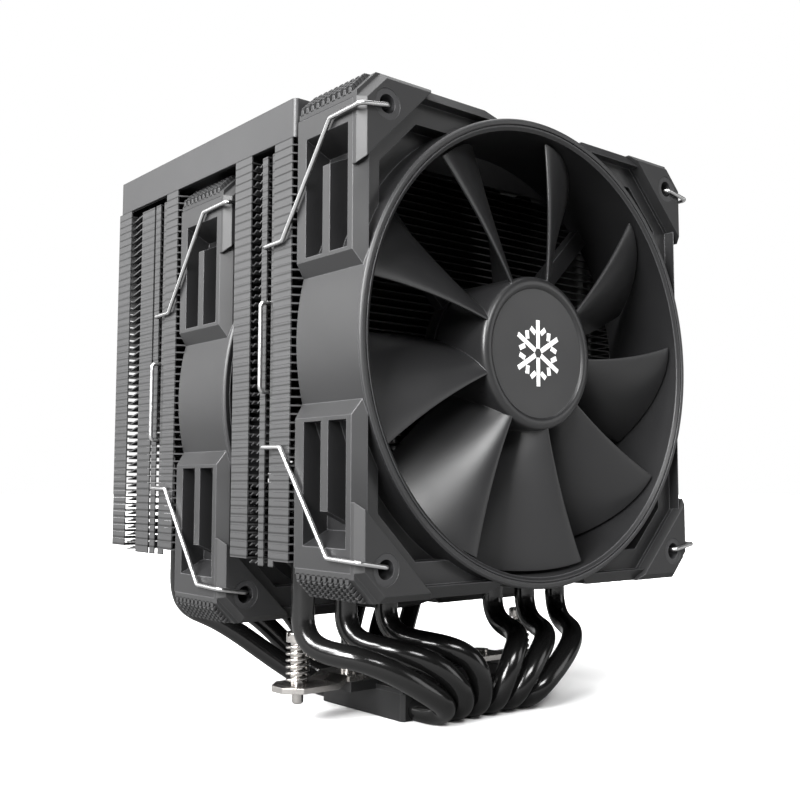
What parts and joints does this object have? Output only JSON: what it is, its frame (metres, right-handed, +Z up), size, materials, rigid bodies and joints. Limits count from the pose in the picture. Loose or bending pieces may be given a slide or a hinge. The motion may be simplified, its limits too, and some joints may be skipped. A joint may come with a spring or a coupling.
{
  "type": "cpu tower cooler",
  "caption": "Twin-tower CPU cooler: folded-fin stacks on U-shaped heat pipes, two round-duct fans held by wire clips, box cover and sprung mounting bar.",
  "frame": {"origin": "centre of the base contact face", "axes": "+Z up from the contact face to the cover, +Y backwards with the air flow, X across the fans"},
  "size_m": [0.1238, 0.1257, 0.1552],
  "materials": {
    "frame_plastic": "matte black moulded plastic",
    "pad_rubber": "matte soft rubber with knurled ribs",
    "bush_plastic": "satin dark grey plastic",
    "impeller_plastic": "satin black moulded plastic",
    "hub_label": "matte printed disc",
    "yoke_steel": "drawn steel",
    "magnet": "bonded ferrite",
    "shaft_steel": "ground steel",
    "bearing_bronze": "sintered bronze",
    "core_steel": "laminated steel",
    "winding_copper": "enamelled copper wire",
    "circuit_board": "solder-masked board",
    "wire_steel": "bright spring steel",
    "fin_aluminium": "black coated aluminium",
    "cover_aluminium": "black anodised, fine grain",
    "base_metal": "black coated, milled contact face",
    "base_black": "black coated aluminium",
    "screw_black": "black screw",
    "bar_nickel": "polished nickel plate",
    "screw_nickel": "nickel plated",
    "spring_nickel": "nickel plated spring wire",
    "pipe_black": "gloss black coated copper"
  },
  "bodies": {
    "heatsink": {"front_fins": "fin_aluminium", "rear_fins": "fin_aluminium", "top_cover": "cover_aluminium", "heat_pipe_1": "pipe_black", "heat_pipe_2": "pipe_black", "heat_pipe_3": "pipe_black", "heat_pipe_4": "pipe_black", "heat_pipe_5": "pipe_black", "heat_pipe_6": "pipe_black", "base_plate": "base_metal", "base_heatsink": "base_black", "base_screws": "screw_black", "mounting_bar": "bar_nickel", "bar_screws": "screw_nickel", "left_spring": "spring_nickel", "right_spring": "spring_nickel"},
    "front_fan": {"front_fan_frame": "frame_plastic", "front_fan_motor_mount": "frame_plastic", "front_fan_corner_pads": "pad_rubber", "front_fan_hole_bushes": "bush_plastic", "front_fan_bearing": "bearing_bronze", "front_fan_stator_core": "core_steel", "front_fan_windings": "winding_copper", "front_fan_circuit_board": "circuit_board"},
    "front_rotor": {"front_fan_impeller_hub": "impeller_plastic", "front_fan_impeller_blades": "impeller_plastic", "front_fan_hub_label": "hub_label", "front_fan_rotor_yoke": "yoke_steel", "front_fan_magnet_ring": "magnet", "front_fan_shaft": "shaft_steel"},
    "front_left_clip": {"front_fan_left_clip": "wire_steel"},
    "front_right_clip": {"front_fan_right_clip": "wire_steel"},
    "middle_fan": {"middle_fan_frame": "frame_plastic", "middle_fan_motor_mount": "frame_plastic", "middle_fan_corner_pads": "pad_rubber", "middle_fan_hole_bushes": "bush_plastic", "middle_fan_bearing": "bearing_bronze", "middle_fan_stator_core": "core_steel", "middle_fan_windings": "winding_copper", "middle_fan_circuit_board": "circuit_board"},
    "middle_rotor": {"middle_fan_impeller_hub": "impeller_plastic", "middle_fan_impeller_blades": "impeller_plastic", "middle_fan_hub_label": "hub_label", "middle_fan_rotor_yoke": "yoke_steel", "middle_fan_magnet_ring": "magnet", "middle_fan_shaft": "shaft_steel"},
    "middle_left_clip": {"middle_fan_left_clip": "wire_steel"},
    "middle_right_clip": {"middle_fan_right_clip": "wire_steel"},
    "left_ring": {"left_retaining_ring": "screw_nickel"},
    "left_screw": {"left_spring_screw": "screw_nickel"},
    "right_ring": {"right_retaining_ring": "screw_nickel"},
    "right_screw": {"right_spring_screw": "screw_nickel"}
  },
  "joints": [
    {"name": "front_fan_height", "type": "slide", "parent": "heatsink", "child": "front_fan", "axis": [0, 0, 1], "range_m": [0, 0.015]},
    {"name": "front_fan_spin", "type": "hinge", "parent": "front_fan", "child": "front_rotor", "pos_m": [0, -0.038, 0.0952], "axis": [0, 1, 0], "continuous": true},
    {"name": "front_left_clip_swing", "type": "hinge", "parent": "front_fan", "child": "front_left_clip", "pos_m": [-0.0525, -0.05075, 0.0952], "axis": [0, 0, 1], "range_deg": [0, 28]},
    {"name": "front_right_clip_swing", "type": "hinge", "parent": "front_fan", "child": "front_right_clip", "pos_m": [0.0525, -0.05075, 0.0952], "axis": [0, 0, -1], "range_deg": [0, 28]},
    {"name": "middle_fan_height", "type": "slide", "parent": "heatsink", "child": "middle_fan", "axis": [0, 0, 1], "range_m": [-0.004, 0]},
    {"name": "middle_fan_spin", "type": "hinge", "parent": "middle_fan", "child": "middle_rotor", "pos_m": [0, 0.0204, 0.0851], "axis": [0, 1, 0], "continuous": true},
    {"name": "middle_left_clip_swing", "type": "hinge", "parent": "middle_fan", "child": "middle_left_clip", "pos_m": [-0.0525, 0.00765, 0.0851], "axis": [0, 0, 1], "range_deg": [0, 24]},
    {"name": "middle_right_clip_swing", "type": "hinge", "parent": "middle_fan", "child": "middle_right_clip", "pos_m": [0.0525, 0.00765, 0.0851], "axis": [0, 0, -1], "range_deg": [0, 24]},
    {"name": "left_screw_press", "type": "slide", "parent": "heatsink", "child": "left_ring", "axis": [0, 0, 1], "range_m": [-0.004, 0], "stiffness_N_per_m": 4000, "springref_m": 0.002, "deforming": ["left_spring"]},
    {"name": "left_screw_turn", "type": "hinge", "parent": "left_ring", "child": "left_screw", "pos_m": [-0.0415, 0, 0.0205], "axis": [0, 0, 1], "continuous": true},
    {"name": "right_screw_press", "type": "slide", "parent": "heatsink", "child": "right_ring", "axis": [0, 0, 1], "range_m": [-0.004, 0], "stiffness_N_per_m": 4000, "springref_m": 0.002, "deforming": ["right_spring"]},
    {"name": "right_screw_turn", "type": "hinge", "parent": "right_ring", "child": "right_screw", "pos_m": [0.0415, 0, 0.0205], "axis": [0, 0, 1], "continuous": true}
  ]
}
